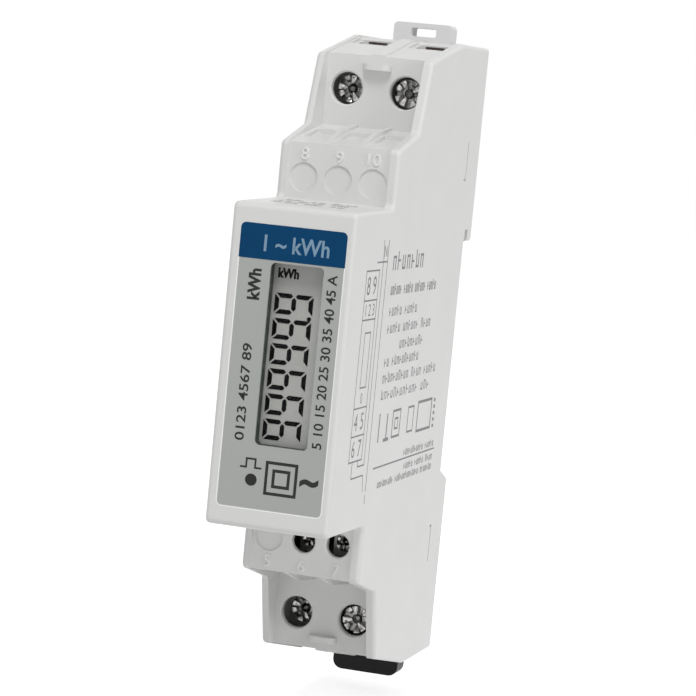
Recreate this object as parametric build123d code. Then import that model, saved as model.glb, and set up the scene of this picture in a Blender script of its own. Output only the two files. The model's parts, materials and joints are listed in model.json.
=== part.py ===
"""Single-phase energy meter, one module wide, for a 35 mm rail.

X is the width, Y the depth with the front at -Y, Z the height. The origin is the
centre of the land that rests on the rail. Sizes are in millimetres.
"""
from build123d import *
import math
import os
from dataclasses import dataclass

# How far joined solids reach into each other, and how far a cutter passes a face.
bite = 0.1
past = 1.0

# Housing sections, from the nose back to the feet.
housing_width = 17.8
wall = 1.2
cover_thickness = 0.95
profile_round = 0.9
edge_round = 0.6
nose_rise = 18.3
nose_back_height = 45.6
nose_draft = 0.4
nose_front_wall = 1.8
pulse_rise = 15.2
main_face_depth = 26.5
main_rim_inner_rise = 5.5
main_rim_outer_rise = 1.9
chamfer_end_depth = 11.5
foot_depth = 4.2
pulse_rim_depth = main_face_depth + pulse_rise
nose_depth = pulse_rim_depth + nose_rise
nose_front_height = nose_back_height - 2 * nose_draft

# Heights along the front, outwards from the root of the nose to the ends.
pulse_inset = 3.2
pulse_outset = 5.0
pulse_slope_rise = 2.6
main_inset = 5.6
main_outset = 4.9
chamfer_rise = 3.35

# How far the faces between the two side walls are sunk behind their rims.
pulse_face_sink = 0.3
pulse_face_inset = 0.1
pulse_corner_rise = 0.05
top_sink = 0.25
joint_lip = 0.5

# Snap slits in the cover, with a short hook at their inner ends.
slit_inner_z = 27.0
slit_outer_z = 32.7
slit_y = -3.2
slit_width = 0.4
slit_hook = 0.7
slit_depth = 0.5

# Rail recess: a land for the rail, a hooked upper lip and a ramped lower foot.
land_height = 31.8
land_rise = 0.15
rail_lip_z = 17.35
rail_lip_overhang = 0.5
rail_groove_z = 19.2
rail_groove_depth = 1.4
rail_ramp_z = 18.4
rail_foot_z = 20.1

# Main terminals: screws, clamps and the entries for their wires.
main_pitch = 9.0
main_hole_radius = 2.4
hole_rim = 0.2
entry_width = 4.6
entry_lead = 0.4
funnel_width = 5.6
funnel_run = 1.6
funnel_drop = 0.3
funnel_roof_rise = 0.5
funnel_roof_edge = 0.2
hollow_width = 3.0
hollow_depth = 4.0
ridge_width = 2.0
clamp_side_gap = 0.05
clamp_inner_gap = 0.1
clamp_outer_gap = 0.3
plate_side_gap = 0.1
plate_end_gap = 0.6
rest_width = 1.0
rest_offset = 1.6

# Pulse terminals, with blank marks where a meter with more outputs has screws.
pulse_pitch = 5.15
pulse_hole_radius = 1.75
blank_radius = 2.1
blank_sink = 0.25
pulse_entry_width = 2.9
pulse_entry_depth = 3.6
blank_entry_depth = 0.66
pulse_mouth_run = 3.0
pulse_mouth_margin = 0.5
pulse_mouth_drop = 0.6
pulse_mouth_rise = 0.36
divider_thickness = 0.7
divider_rise = 0.75
divider_back_rise = 0.35
divider_gap = 0.2
shelf_width = 4.3
shelf_thickness = 0.9
shelf_reach = 1.5
shelf_offset = 3.4
shelf_round = 1.2

# Label with its window, the clear pane and the lamp window.
label_left_margin = 1.35
label_right_margin = 0.1
label_end_margin = 2.75
label_thickness = 0.3
label_sink = 0.35
label_round = 0.8
label_gap = 0.1
band_height = 4.85
band_thickness = 0.04
window_width = 7.65
window_x = 1.08
window_round = 0.7
window_top_gap = 0.3
window_bottom_margin = 9.0
pane_gap = 0.05
pane_recess = 0.9
pane_flange = 1.0
pane_flange_thickness = 0.6
lamp_x = -2.74
lamp_rise = 4.11
lamp_radius = 0.85
lamp_collar = 0.5
lamp_height = 1.2
lamp_gap = 0.1
lamp_base_width = 2.0
lamp_base_length = 1.3
lamp_base_height = 0.5
lamp_dome_radius = 0.55

# Display stack behind the pane.
glass_thickness = 1.6
glass_border = 1.4
glass_ledge = 1.0
glass_round = 0.2
glass_seat = 0.05
display_gap = 0.1
display_frame_wall = 1.1
strip_thickness = 1.2
strip_height = 1.4
strip_margin = 0.2
board_thickness = 1.2
display_board_end_gap = 0.9
display_board_gap = 0.2
cover_gap = 0.3
post_overlap = 1.6
post_width = 1.9
segment_thickness = 0.05
segment_gap = 0.26
reading = "999999"
digit_height = 5.55
digit_gap = 0.62
digit_stroke_share = 0.22
point_radius = 0.3
point_inset = 0.1
digits_left = -2.5
digits_bottom_margin = 0.64
digits_top_margin = 4.17

# Main board and the parts that stand on it.
main_board_x = 3.3
main_board_thickness = 1.6
board_end_gap = 3.9
board_front_gap = 2.8
board_shoulder_gap = 1.2
board_shoulder_drop = 1.5
board_notch_gap = 1.35
board_back_gap = 2.3
board_side_gap = 0.7
guide_width = 1.0
guide_gap = 0.05
guide_grip = 1.5
guide_start = 2.0
guide_length = 6.0
header_height = 2.5
header_depth = 2.5
header_pins = 6
header_pitch = 2.54
header_pin = 0.5
header_gap = 0.2

# Parts on the boards: Y from the main board's front, shoulder or back edge, Z from the middle.
driver_x = -3.0
driver_z = -4.0
metering_offset = 4.8
metering_z = -14.0
coupler_offset = 3.7
coupler_end_gap = 4.3
rectifier_offset = 6.8
rectifier_z = 24.0
dropper_offset = 6.5
dropper_z = 12.25
dropper_height = 8.4
dropper_depth = 11.8
dropper_length = 17.5
dropper_round = 0.8
smoothing_offset = 3.5
smoothing_z = 14.5
smoothing_radius = 3.15
smoothing_length = 11.0
varistor_offset = 6.0
varistor_z = -1.0
varistor_radius = 4.6
varistor_thickness = 3.6
varistor_gap = 0.6
varistor_leg_offset = 2.0
varistor_leg_grip = 1.0
resistor_offset = 6.6
resistor_z = 9.5
resistor_radius = 2.2
resistor_length = 13.0
resistor_gap = 0.3
resistor_bend = 0.8
wire_width = 0.6
crystal_offset = 7.5
crystal_z = -11.25
crystal_height = 3.4
crystal_depth = 4.4
crystal_length = 10.5
crystal_round = 1.9

# Rail clips.
clip_clearance = 0.15
clip_travel = 3.0
clip_nose_z = 16.4
clip_nose_front = 1.3
clip_foot_z = 19.8
clip_block_z = 24.0
clip_nose_slope = 1.4
spring_slot_width = 1.0
spring_slot_start = 2.0
spring_slot_length = 13.0
blade_slot_length = 4.0
blade_slot_width = 1.3
blade_slot_round = 0.3
blade_slot_x = 0.2

# Bars that carry the current behind the boards.
bar_width = 3.6
bar_thickness = 1.2
bar_clearance = 0.15
shunt_length = 12.0
sense_wire_radius = 0.45
sense_wire_bend = 1.2
tab_thickness = 1.2
neutral_tab_z = -15.5
neutral_tab_height = 3.0
pulse_tail_height = 2.0
pulse_tail_width = 1.2
pulse_tail_reach = 1.4
pulse_tail_thickness = 0.8


# Screws: shares of the head's radius, and how much of the plate the pin fills.
head_chamfer_share = 0.12
recess_depth_share = 0.55
slot_width_share = 0.36
slot_length_share = 2.2
slot_arm_share = 1.5
cross_width_share = 0.22
cross_length_share = 1.3
pin_share = 0.85


@dataclass
class Terminal:
    """Sizes of one kind of screw clamp, along Y from the face it opens in."""

    face: float
    head_radius: float
    head_height: float
    shank_radius: float
    shank_length: float
    pin_radius: float
    frame_wall: float
    frame_half_width: float
    frame_half_height: float
    plate_thickness: float
    shallow: float
    travel: float
    floor_gap: float
    plate_gap: float = 0.2
    running_gap: float = 0.05

    @property
    def plate_front_open(self):
        return self.face + self.shallow + self.head_height + self.shank_length

    @property
    def plate_back_open(self):
        return self.plate_front_open + self.plate_thickness

    @property
    def frame_front(self):
        return self.plate_front_open - self.plate_gap - self.frame_wall

    @property
    def floor(self):
        return self.plate_back_open + self.travel + self.floor_gap

    @property
    def frame_back(self):
        return self.floor + self.frame_wall


main_terminal = Terminal(
    face=-main_face_depth, head_radius=2.2, head_height=2.0, shank_radius=1.75, shank_length=5.9,
    pin_radius=1.0, frame_wall=1.1, frame_half_width=3.2, frame_half_height=4.0,
    plate_thickness=1.1, shallow=0.6, travel=4.4, floor_gap=0.3 + bar_thickness)
pulse_terminal = Terminal(
    face=-pulse_rim_depth + pulse_face_sink, head_radius=1.5, head_height=1.3, shank_radius=1.1,
    shank_length=4.1, pin_radius=0.65, frame_wall=0.75, frame_half_width=2.2, frame_half_height=2.4,
    plate_thickness=0.8, shallow=1.4, travel=3.0, floor_gap=0.4)


@dataclass
class Clip:
    """Sizes of one rail clip: its bar lies in a channel behind the terminals."""

    front: float
    back: float
    nose_back: float
    width: float
    reach: float
    corner: float
    slotted: bool


upper_clip = Clip(front=-4.0, back=-0.6, nose_back=3.6, width=9.2, reach=2.8, corner=0.7, slotted=True)
lower_clip = Clip(front=-1.4, back=2.3, nose_back=2.3, width=10.6, reach=4.4, corner=1.5, slotted=False)


@dataclass
class Package:
    """Sizes of a chip package: its body, and its two rows of legs."""

    across: float
    along: float
    height: float
    standoff: float
    leg_count: int
    leg_pitch: float
    leg_width: float
    leg_height: float
    leg_reach: float


driver_package = Package(across=5.2, along=10.0, height=1.5, standoff=0.1, leg_count=6, leg_pitch=1.5,
                         leg_width=0.4, leg_height=0.5, leg_reach=0.8)
metering_package = Package(across=5.2, along=10.0, height=1.6, standoff=0.1, leg_count=7, leg_pitch=1.3,
                           leg_width=0.4, leg_height=0.6, leg_reach=0.8)
coupler_package = Package(across=6.4, along=4.6, height=3.9, standoff=0.5, leg_count=2, leg_pitch=2.6,
                          leg_width=0.6, leg_height=1.0, leg_reach=0.2)
rectifier_package = Package(across=5.4, along=5.0, height=2.6, standoff=0.2, leg_count=2, leg_pitch=2.6,
                            leg_width=1.0, leg_height=0.6, leg_reach=0.6)

# Faces and levels that several pieces share.
half_width = housing_width / 2
joint_x = half_width - cover_thickness
inner_left = -half_width + wall
main_rim_inner_depth = main_face_depth + main_rim_inner_rise
main_rim_outer_depth = main_face_depth + main_rim_outer_rise
pulse_z = nose_back_height / 2 + pulse_inset
pulse_rim_z = pulse_z + pulse_outset
pulse_corner_z = pulse_rim_z - pulse_face_inset
main_corner_z = pulse_rim_z + pulse_slope_rise
main_z = main_corner_z + main_inset
chamfer_start_z = main_z + main_outset
half_height = chamfer_start_z + chamfer_rise
chamfer_slope = chamfer_rise / (main_rim_outer_depth - chamfer_end_depth)
shelf_z = main_z + shelf_offset
pulse_face = pulse_terminal.face
bar_back = main_terminal.floor
bar_front = bar_back - bar_thickness
back_wall_front = upper_clip.front - clip_clearance - wall
terminal_end_z = main_z + main_terminal.frame_half_height + clamp_outer_gap
cross_wall_z = main_z - main_terminal.frame_half_height - clamp_inner_gap
label_left = -half_width + label_left_margin
label_right = joint_x - label_right_margin
label_x = (label_left + label_right) / 2
label_height = nose_front_height - 2 * label_end_margin
label_back = -nose_depth + label_sink
label_front = label_back - label_thickness
window_top = label_height / 2 - band_height - window_top_gap
window_height = label_height - band_height - window_top_gap - window_bottom_margin
window_z = window_top - window_height / 2
lamp_z = lamp_rise - label_height / 2
digits_bottom = window_top - window_height + digits_bottom_margin
digits_span = window_height - digits_bottom_margin - digits_top_margin
digit_pitch = (digits_span + digit_gap) / len(reading)
digit_width = digit_pitch - digit_gap
digit_stroke = digit_stroke_share * digit_width
nose_inner_front = -nose_depth + nose_front_wall
pane_front = label_front + pane_recess
pane_back = nose_inner_front + pane_flange_thickness
glass_front = pane_back + display_gap
glass_back = glass_front + glass_thickness
glass_width = window_width + 2 * glass_border
glass_height = window_height + 2 * glass_border + glass_ledge
display_board_front = glass_back + strip_height
display_board_back = display_board_front + board_thickness
display_board_end = nose_front_height / 2 - wall - display_board_end_gap
board_front = display_board_back + board_front_gap
board_back = bar_front - board_back_gap
board_shoulder = pulse_face + wall + board_shoulder_gap
board_notch = pulse_terminal.frame_back + board_notch_gap
board_neck = nose_front_height / 2 - wall - board_side_gap
board_end = cross_wall_z - wall - board_end_gap

# Terminal number, X, Z, how deep its screw stands, and the turn of its recess in degrees.
main_places = [
    (1, -main_pitch / 2, -main_z, 4.0, 28),
    (2, -main_pitch / 2, main_z, 2.5, 55),
    (3, main_pitch / 2, -main_z, 1.0, 12),
    (4, main_pitch / 2, main_z, 1.6, 38),
]
pulse_places = [
    (6, 0.0, -pulse_z, 4.0, 48),
    (7, pulse_pitch, -pulse_z, 4.0, 20),
]


def block(x0, x1, y0, y1, z0, z1):
    """A box between two corners."""
    return Pos((x0 + x1) / 2, (y0 + y1) / 2, (z0 + z1) / 2) * Box(x1 - x0, y1 - y0, z1 - z0)


def slab(points, x0, x1):
    """An outline in the YZ plane, extruded from x0 to x1."""
    face = make_face(Polyline(*points, close=True))
    return Plane.YZ.offset(x0) * extrude(face, x1 - x0)


def rod(radius, x, z, y0, y1):
    """A round bar along Y."""
    return Pos(x, (y0 + y1) / 2, z) * Rot(90, 0, 0) * Cylinder(radius, y1 - y0)


def plate(width, height, radius, x, z, y0, y1):
    """A flat plate facing the front, with rounded corners."""
    outline = RectangleRounded(width, height, radius)
    return Pos(x, y1, z) * Rot(90, 0, 0) * extrude(outline, y1 - y0)


def mirrored(solid):
    """The same solid below the middle of the housing."""
    return mirror(solid, about=Plane.XY)


def both_ends(solid):
    """A solid and its mirror image at the other end of the housing."""
    return [solid, mirrored(solid)]


def housing_blank(x0, x1, outer_face):
    """The stepped outline of the housing between x0 and x1, with its outer edges rounded."""
    upper = [
        (-nose_depth, nose_front_height / 2),
        (-pulse_rim_depth, nose_back_height / 2),
        (-pulse_rim_depth, pulse_rim_z),
        (-main_rim_inner_depth, main_corner_z),
        (-main_rim_outer_depth, chamfer_start_z),
        (-chamfer_end_depth, half_height),
        (foot_depth, half_height),
    ]
    recess = [
        (foot_depth, rail_lip_z),
        (-land_rise, rail_lip_z),
        (-land_rise, -rail_ramp_z),
        (foot_depth, -rail_foot_z),
    ]
    lower = [(y, -z) for y, z in reversed(upper)]
    outline = make_face(Polyline(*upper, *recess, *lower, close=True))
    front_corners = [v for v in outline.vertices() if v.X < -chamfer_end_depth - past]
    outline = fillet(front_corners, profile_round)
    solid = Plane.YZ.offset(x0) * extrude(outline, x1 - x0)
    faces = solid.faces().sort_by(Axis.X)
    outer = faces[0] if outer_face == "left" else faces[-1]
    solid = fillet(outer.edges(), min(edge_round, 0.8 * (x1 - x0)))
    solid -= block(x0 - past, x1 + past, -land_rise, rail_groove_depth,
                   rail_lip_z - rail_lip_overhang, rail_groove_z)
    left = x0 + edge_round if outer_face == "left" else x0
    right = x1 if outer_face == "left" else x1 - edge_round
    return solid + block(left, right, -land_rise, 0, -land_height / 2, land_height / 2)


def cavity():
    """The space inside the tub, open to the side cover."""
    upper = [
        (nose_inner_front, nose_front_height / 2 - wall),
        (pulse_face + wall, nose_back_height / 2 - wall),
        (pulse_face + wall, pulse_corner_z - wall),
        (-main_face_depth + wall, main_corner_z - wall),
        (-main_face_depth + wall, terminal_end_z),
        (back_wall_front, terminal_end_z),
        (back_wall_front, rail_groove_z + wall),
        (-land_rise - wall, rail_groove_z - wall),
    ]
    lower = [(y, -z) for y, z in reversed(upper)]
    return slab(upper + lower, inner_left, joint_x)


def sunk_faces():
    """What is cut away in front of the faces that lie between the side rims."""
    x0, x1 = inner_left, joint_x - joint_lip
    far = half_height + past
    ahead = -pulse_rim_depth - past
    nose_root = nose_back_height / 2 + pulse_corner_rise
    step = [(-main_face_depth, far), (-main_face_depth, main_corner_z), (pulse_face, pulse_corner_z),
            (ahead, pulse_corner_z), (ahead, far)]
    small = [(pulse_face, nose_root), (pulse_face, far), (ahead, far), (ahead, nose_root)]
    front_z = half_height - chamfer_slope * (main_face_depth - chamfer_end_depth)
    top = [(-main_face_depth, front_z - top_sink), (-chamfer_end_depth, half_height - top_sink),
           (foot_depth - wall, half_height - top_sink), (foot_depth - wall, far), (-main_face_depth, far)]
    halves = [slab(top, x0, -ridge_width / 2), slab(top, ridge_width / 2, x1)]
    return [slab(step, x0, x1), slab(small, x0, x1), *halves]


def wire_funnel(x):
    """Entry for a main wire: a shallow funnel, a square hole and a hollow behind the funnel's lip."""
    y0, y1 = main_terminal.plate_back_open - entry_lead, bar_front
    y2 = y1 + funnel_run
    lip_z = half_height - top_sink + chamfer_slope * (y0 + chamfer_end_depth)
    roof_z = lip_z + funnel_roof_rise
    high = half_height + past
    outline = [(y0, lip_z - funnel_drop), (y1, roof_z), (y1, roof_z + funnel_roof_edge),
               (y2, half_height), (y2, high), (y0, high)]
    funnel = slab(outline, x - funnel_width / 2, x + funnel_width / 2)
    hole = block(x - entry_width / 2, x + entry_width / 2, y0, y1, terminal_end_z - past, high)
    hollow = block(x - hollow_width / 2, x + hollow_width / 2, y1 - bite, y1 + hollow_depth,
                   terminal_end_z - bite, roof_z)
    return funnel + hole + hollow


def step_floor_z(y):
    """Height of the sloped floor between the main face and the pulse face."""
    share = (y + main_face_depth) / (pulse_face + main_face_depth)
    return main_corner_z + (pulse_corner_z - main_corner_z) * share


def pulse_funnel(x, through):
    """Entry for a pulse wire; a blank one stops inside the wall."""
    half = pulse_entry_width / 2
    wide = half + pulse_mouth_margin
    y0, y1 = pulse_terminal.plate_back_open, pulse_terminal.floor
    start = y0 - pulse_mouth_run
    high = step_floor_z(y1) + pulse_mouth_rise
    depth = pulse_entry_depth if through else blank_entry_depth
    mouth = slab([(start, step_floor_z(start)), (y0, step_floor_z(y0) - pulse_mouth_drop),
                  (y1, step_floor_z(y1) - pulse_mouth_drop), (y1, high), (start, high)], x - wide, x + wide)
    hole = block(x - half, x + half, y0, y1, step_floor_z(y1) - depth, high)
    return mouth + hole


def divider(x):
    """Rib that parts two neighbouring pulse entries, standing up from the sloped floor."""
    y0, y1 = pulse_face + divider_gap, -main_face_depth
    mid = (y0 + y1) / 2
    points = [(y0, step_floor_z(y0) - bite), (mid, step_floor_z(mid) + divider_rise),
              (y1, step_floor_z(y1) + divider_back_rise), (y1, step_floor_z(y1) - bite)]
    return slab(points, x - divider_thickness / 2, x + divider_thickness / 2)


def screw_hole(terminal, x, z, radius):
    """Hole in the face in front of a screw, with a broken edge, open to the space behind it."""
    rim = Pos(x, terminal.face + hole_rim / 2, z) * Rot(90, 0, 0) * Cone(radius, radius + hole_rim, hole_rim)
    return rod(radius, x, z, terminal.face - past, terminal.frame_front) + rim


def shelf():
    """Small ledge between the two screws of one end, rounded at its front."""
    ledge = block(-shelf_width / 2, shelf_width / 2, -main_face_depth - shelf_reach, -main_face_depth + bite,
                  shelf_z - shelf_thickness / 2, shelf_z + shelf_thickness / 2)
    return fillet(ledge.edges().filter_by(Axis.Z).group_by(Axis.Y)[0], shelf_round)


def terminal_walls():
    """Walls round the main terminals at one end: a cross wall, a partition and rests."""
    face_inner = -main_face_depth + wall / 2
    low, high = cross_wall_z - bite, terminal_end_z + bite
    cross = block(inner_left, joint_x, face_inner, back_wall_front, cross_wall_z - wall, cross_wall_z)
    half_slot = bar_width / 2 + bar_clearance
    half_gap = main_pitch / 2 - main_terminal.frame_half_width - clamp_side_gap
    walls = [block(-half_gap, half_gap, face_inner, back_wall_front, low, high)]
    for x in (-main_pitch / 2, main_pitch / 2):
        cross -= block(x - half_slot, x + half_slot, bar_front - bar_clearance, bar_back + bar_clearance,
                       cross_wall_z - wall - past, cross_wall_z + past)
        for middle in (x - rest_offset, x + rest_offset):
            walls.append(block(middle - rest_width / 2, middle + rest_width / 2,
                               main_terminal.frame_back, back_wall_front + bite, low, high))
    return [cross, *walls]


def board_guides():
    """Paired fins that hold the main board's edge at one end."""
    x0, x1 = main_board_x - guide_gap, main_board_x + main_board_thickness + guide_gap
    y1 = board_back - guide_start
    y0 = y1 - guide_length
    z0, z1 = board_end - guide_grip, cross_wall_z - wall + bite
    fins = [block(x0 - guide_width, x0, y0, y1, z0, z1), block(x1, x1 + guide_width, y0, y1, z0, z1)]
    stop = block(x0 - guide_width, x1 + guide_width, y0, y1, board_end + guide_gap, z1)
    return [*fins, stop]


def display_posts():
    """Corner posts inside the nose that the display board lies against, at one end."""
    z1 = nose_front_height / 2 - wall + 2 * bite
    z0 = display_board_end - post_overlap
    right = joint_x - cover_gap
    corners = [(inner_left - bite, inner_left + post_width), (right - post_width, right)]
    return [block(x0, x1, nose_inner_front - bite, display_board_front, z0, z1) for x0, x1 in corners]


def rail_clip(clip):
    """Clip drawn at the upper end: bar, block, nose behind the rail edge, and pull tab."""
    half = clip.width / 2
    end = half_height + clip.reach
    bar = block(-half, half, clip.front, clip.back, clip_foot_z, end)
    tab_edges = bar.edges().filter_by(Axis.Y).group_by(Axis.Z)[-1]
    bar = fillet(tab_edges, clip.corner)
    root = block(-half, half, clip.front, clip.nose_back, clip_foot_z, clip_block_z)
    nose_end = clip_foot_z + bite
    nose = slab([(clip_nose_front, clip_nose_z), (clip_nose_front, nose_end), (clip.nose_back, nose_end),
                 (clip.nose_back, clip_nose_z + clip_nose_slope)], -half, half)
    solid = bar + root + nose
    slot_z = clip_block_z + spring_slot_start
    half_slot = spring_slot_width / 2
    for x in (-half / 2, half / 2):
        solid -= block(x - half_slot, x + half_slot, clip.front - past, clip.nose_back + past,
                       slot_z, slot_z + spring_slot_length)
    if clip.slotted:
        solid -= plate(blade_slot_length, blade_slot_width, blade_slot_round, blade_slot_x,
                       (half_height + end) / 2, clip.front - past, clip.back + past)
    return solid


def clip_channel(clip):
    """Space that a clip needs at the upper end, over its whole travel."""
    c = clip_clearance
    half = clip.width / 2 + c
    start = rail_lip_z - past
    channel = block(-half, half, clip.front - c, clip.back + c, start, half_height + past)
    window = block(-half, half, clip.front - c, foot_depth + past, start, clip_block_z + clip_travel + 2 * c)
    keep = block(-half - past, half + past, clip.front - past, -land_rise, 0, clip_foot_z - 2 * c)
    return (channel + window) - keep


def foot_pocket(clip):
    """Cored-out back of the foot, behind the clip's channel."""
    start = clip.back + clip_clearance + wall
    z0 = clip_block_z + clip_travel + 2 * wall
    return block(-clip.width / 2, clip.width / 2, start, foot_depth + past, z0, half_height - 2 * wall)


def housing_tub():
    """Left side, back, stepped faces and nose in one moulding."""
    tub = housing_blank(-half_width, joint_x, "left")
    tub -= cavity()
    tub += [solid for part in terminal_walls() for solid in both_ends(part)]
    tub += [solid for part in board_guides() for solid in both_ends(part)]
    tub += [solid for part in display_posts() for solid in both_ends(part)]
    tub -= [solid for part in sunk_faces() for solid in both_ends(part)]
    dividers = [divider(x) for x in (-pulse_pitch / 2, pulse_pitch / 2)]
    tub += [solid for part in dividers for solid in both_ends(part)]
    tub += both_ends(shelf())
    for _, x, z, _, _ in main_places:
        tub -= screw_hole(main_terminal, x, z, main_hole_radius)
    for _, x, z, _, _ in pulse_places:
        tub -= screw_hole(pulse_terminal, x, z, pulse_hole_radius)
    for x in (-main_pitch / 2, main_pitch / 2):
        tub -= both_ends(wire_funnel(x))
    for x in (-pulse_pitch, 0.0, pulse_pitch):
        tub -= pulse_funnel(x, through=False)
        tub -= mirrored(pulse_funnel(x, through=x >= 0))
    for x, z in ((-pulse_pitch, pulse_z), (0.0, pulse_z), (pulse_pitch, pulse_z), (-pulse_pitch, -pulse_z)):
        tub -= rod(blank_radius, x, z, pulse_face - past, pulse_face + blank_sink)
    tub -= [clip_channel(upper_clip), foot_pocket(upper_clip)]
    tub -= [mirrored(clip_channel(lower_clip)), mirrored(foot_pocket(lower_clip))]
    ahead, behind = -nose_depth - past, nose_inner_front + past
    tub -= plate(label_right - label_left, label_height + label_gap, label_round, label_x, 0,
                 ahead, label_back)
    tub -= plate(window_width + 2 * pane_gap, window_height + 2 * pane_gap, window_round,
                 window_x, window_z, ahead, behind)
    tub -= rod(lamp_radius + pane_gap, lamp_x, lamp_z, ahead, behind)
    return tub


def side_cover():
    """Flat right side of the housing with its rounded rim and two snap slits."""
    cover = housing_blank(joint_x, half_width, "right")
    x0, x1 = half_width - slit_depth, half_width + past
    half = slit_width / 2
    slit = block(x0, x1, slit_y - half, slit_y + half, slit_inner_z, slit_outer_z)
    hook = block(x0, x1, slit_y - half - slit_hook, slit_y + half, slit_inner_z - half, slit_inner_z + half)
    return cover - both_ends(slit) - both_ends(hook)


def label_outline(y0, y1):
    """Block with the outline of the label."""
    width = label_right - label_left - label_gap
    return plate(width, label_height, label_round - label_gap / 2, label_x, 0, y0, y1)


def front_label():
    """Printed film in the sunk field of the nose, with openings for the pane and the lamp."""
    ahead, behind = label_front - past, label_back + past
    film = label_outline(label_front, label_back)
    film -= plate(window_width, window_height, window_round, window_x, window_z, ahead, behind)
    return film - rod(lamp_radius, lamp_x, lamp_z, ahead, behind)


def label_band():
    """Printed colour field across the top of the label."""
    sheet = label_outline(label_front - band_thickness, label_front)
    band_bottom = label_height / 2 - band_height
    return sheet & block(-half_width, half_width, -nose_depth - past, 0, band_bottom, label_height)


def display_window():
    """Clear pane that fills the opening in the nose, with a flange behind the wall."""
    pane = plate(window_width - pane_gap, window_height - pane_gap, window_round, window_x, window_z,
                 pane_front, nose_inner_front)
    flange = plate(window_width + 2 * pane_flange, window_height + 2 * pane_flange, window_round,
                   window_x, window_z, nose_inner_front, pane_back)
    return pane + flange


def lamp_window():
    """Light pipe of the pulse lamp, flush with the label."""
    end = display_board_front - lamp_height - lamp_gap
    pipe = rod(lamp_radius - pane_gap / 2, lamp_x, lamp_z, label_front, end)
    collar = rod(lamp_radius + lamp_collar, lamp_x, lamp_z, nose_inner_front, pane_back)
    return pipe + collar


def display_glass():
    """Liquid-crystal cell behind the pane."""
    return plate(glass_width, glass_height, glass_round, window_x, window_z, glass_front, glass_back)


def bar_outlines():
    """The seven bars of a digit lying on its side, in X and Z from the corner of its top and left."""
    w, h, s = digit_width, digit_height, digit_stroke
    gap = segment_gap / math.sqrt(2)
    end = [(0, gap), (0, w - gap), (s, w - s - gap), (s, s + gap)]
    tip = h / 2 - gap
    side = [(gap, 0), (tip - s / 2, 0), (tip, s / 2), (tip - s / 2, s), (s + gap, s)]
    near, far = s + gap, w - s - gap
    middle = [(h / 2, near - s / 2), (h / 2 - s / 2, near), (h / 2 - s / 2, far),
              (h / 2, far + s / 2), (h / 2 + s / 2, far), (h / 2 + s / 2, near)]
    return {
        "a": end, "g": middle, "d": [(h - x, z) for x, z in end],
        "f": side, "e": [(h - x, z) for x, z in side],
        "b": [(x, w - z) for x, z in side], "c": [(h - x, w - z) for x, z in side],
    }


def digit(value, z0):
    """The lit bars of a digit lying on its side: its top points left and it reads upwards."""
    lit = {
        "0": "abcdef", "1": "bc", "2": "abged", "3": "abgcd", "4": "fgbc",
        "5": "afgcd", "6": "afgedc", "7": "abc", "8": "abcdefg", "9": "abcdfg",
    }[value]
    outlines = [outline for name, outline in bar_outlines().items() if name in lit]
    faces = [make_face(Polyline(*outline, close=True)) for outline in outlines]
    place = Pos(digits_left, glass_front, z0) * Rot(90, 0, 0)
    return [place * extrude(face, segment_thickness) for face in faces]


def display_segments():
    """The reading on the display, with a round point before its last digit."""
    bars = []
    for place, value in enumerate(reading):
        bars += digit(value, digits_bottom + place * digit_pitch)
    point_x = digits_left + digit_height - point_radius - point_inset
    point_z = digits_bottom + (len(reading) - 1) * digit_pitch - digit_gap / 2
    bars.append(rod(point_radius, point_x, point_z, glass_front - segment_thickness, glass_front))
    return Compound(children=bars)


def display_frame():
    """Frame that holds the glass on the display board."""
    width, height = glass_width + 2 * glass_seat, glass_height + 2 * glass_seat
    outer = plate(width + 2 * display_frame_wall, height + 2 * display_frame_wall,
                  glass_round + display_frame_wall / 2, window_x, window_z,
                  nose_inner_front + glass_seat, display_board_front)
    return outer - plate(width, height, glass_round, window_x, window_z,
                         nose_inner_front - past, display_board_front + past)


def contact_strips():
    """Two striped rubber strips between the glass and the display board."""
    half = strip_thickness / 2
    offset = glass_width / 2 - half - strip_margin
    reach = glass_height / 2 - strip_margin
    strips = [block(x - half, x + half, glass_back, display_board_front, window_z - reach, window_z + reach)
              for x in (window_x - offset, window_x + offset)]
    return Compound(children=strips)


def display_board():
    """Circuit board behind the display."""
    return block(inner_left + display_board_gap, joint_x - cover_gap, display_board_front, display_board_back,
                 -display_board_end, display_board_end)


def package(chip):
    """Chip body with a row of legs on each side, standing on the XY plane."""
    body_height = chip.height - chip.standoff
    body = Pos(0, 0, chip.standoff + body_height / 2) * Box(chip.across, chip.along, body_height)
    leg = Box(chip.leg_reach + 2 * bite, chip.leg_width, chip.leg_height)
    legs = []
    for index in range(chip.leg_count):
        along = (index - (chip.leg_count - 1) / 2) * chip.leg_pitch
        for out in (-(chip.across + chip.leg_reach) / 2, (chip.across + chip.leg_reach) / 2):
            legs.append(Pos(out, along, chip.leg_height / 2) * leg)
    return body + legs


def display_driver():
    """Driver chip on the back of the display board."""
    place = Plane(origin=(driver_x, display_board_back, driver_z), x_dir=(1, 0, 0), z_dir=(0, 1, 0))
    return place * package(driver_package)


def pulse_lamp():
    """Small lamp on the front of the display board, under its window."""
    half_x, half_z = lamp_base_width / 2, lamp_base_length / 2
    back = display_board_front
    base = block(lamp_x - half_x, lamp_x + half_x, back - lamp_base_height, back,
                 lamp_z - half_z, lamp_z + half_z)
    return base + rod(lamp_dome_radius, lamp_x, lamp_z, back - lamp_height, back - lamp_base_height + bite)


def main_board():
    """Main circuit board, upright beside the cover, necked to fit the nose."""
    points = [(board_front, board_neck), (board_shoulder, board_neck),
              (board_shoulder, board_end - board_shoulder_drop), (board_back, board_end),
              (board_back, -board_end), (board_notch, -board_end), (board_notch, -board_neck),
              (board_front, -board_neck)]
    return slab(points, main_board_x, main_board_x + main_board_thickness)


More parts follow.
